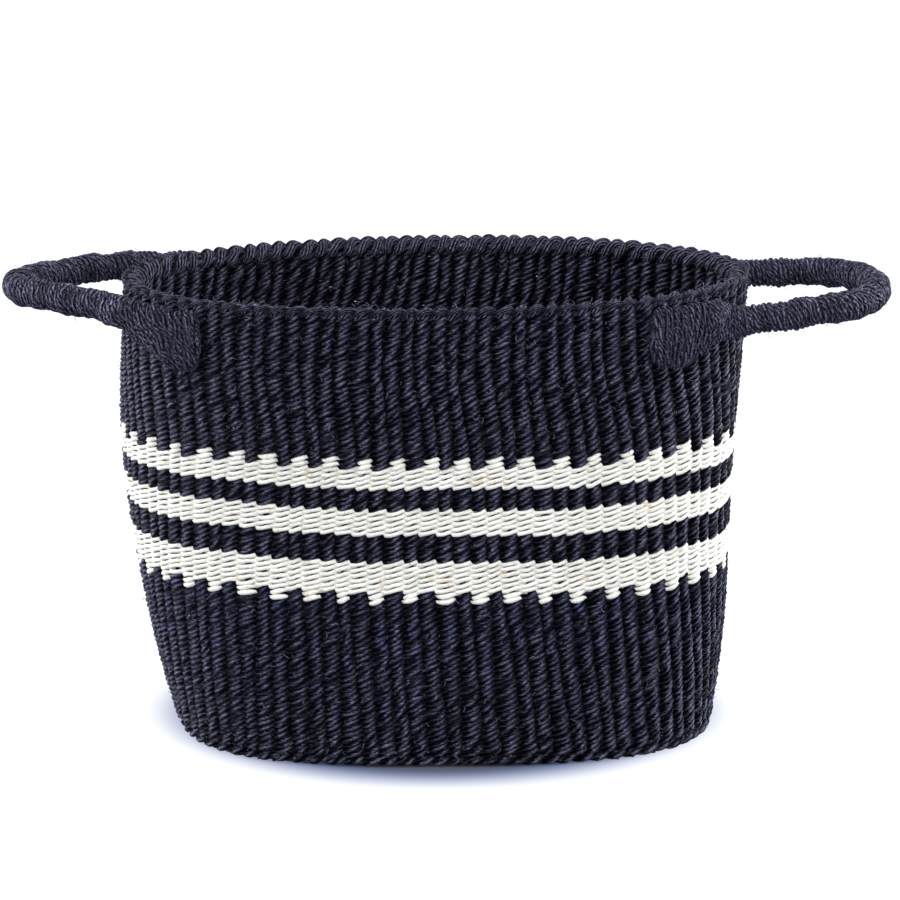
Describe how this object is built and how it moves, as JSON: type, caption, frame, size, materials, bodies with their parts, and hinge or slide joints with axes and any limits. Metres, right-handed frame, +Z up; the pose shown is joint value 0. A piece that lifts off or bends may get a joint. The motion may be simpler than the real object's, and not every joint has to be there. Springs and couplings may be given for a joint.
{
  "type": "oval sisal basket with rope handles",
  "caption": "Soft oval floor basket twined from sisal, with pale toothed bands, a plaited rim and two wrapped rope handles that lift and drop.",
  "frame": {"origin": "on the ground, under the middle of the base's underside", "axes": "+X along the long side towards the right handle, +Z up out of the opening, front faces -Y"},
  "size_m": [0.5459, 0.2628, 0.2851],
  "materials": {
    "dark_sisal": "matt twined sisal yarn, blue-black",
    "pale_sisal": "matt twined sisal yarn, undyed cream",
    "handle_sisal": "matt wrapped sisal yarn, blue-black, slightly paler",
    "rope_core": "raw fibre rope, hidden inside the wrap"
  },
  "bodies": {
    "basket": {"base_mat": "dark_sisal", "ground_row": "dark_sisal", "lower_wall": "dark_sisal", "pale_band_lower": "pale_sisal", "dark_band_lower": "dark_sisal", "pale_band_middle": "pale_sisal", "dark_band_upper": "dark_sisal", "pale_band_upper": "pale_sisal", "upper_wall": "dark_sisal", "rim_braid": "dark_sisal", "left_handle_root_front": "handle_sisal", "left_handle_root_back": "handle_sisal", "right_handle_root_front": "handle_sisal", "right_handle_root_back": "handle_sisal"},
    "left_handle": {"left_handle_core": "rope_core", "left_handle_wrap": "handle_sisal"},
    "right_handle": {"right_handle_core": "rope_core", "right_handle_wrap": "handle_sisal"}
  },
  "joints": [
    {"name": "left_handle_lift", "type": "hinge", "parent": "basket", "child": "left_handle", "pos_m": [-0.17415, 0.00396, 0.2725], "axis": [0.1579, 0.9875, 0], "range_deg": [-30, 60]},
    {"name": "right_handle_lift", "type": "hinge", "parent": "basket", "child": "right_handle", "pos_m": [0.18101, 0.0088, 0.266], "axis": [-0.0142, -0.9997, -0.0213], "range_deg": [-30, 60]}
  ]
}
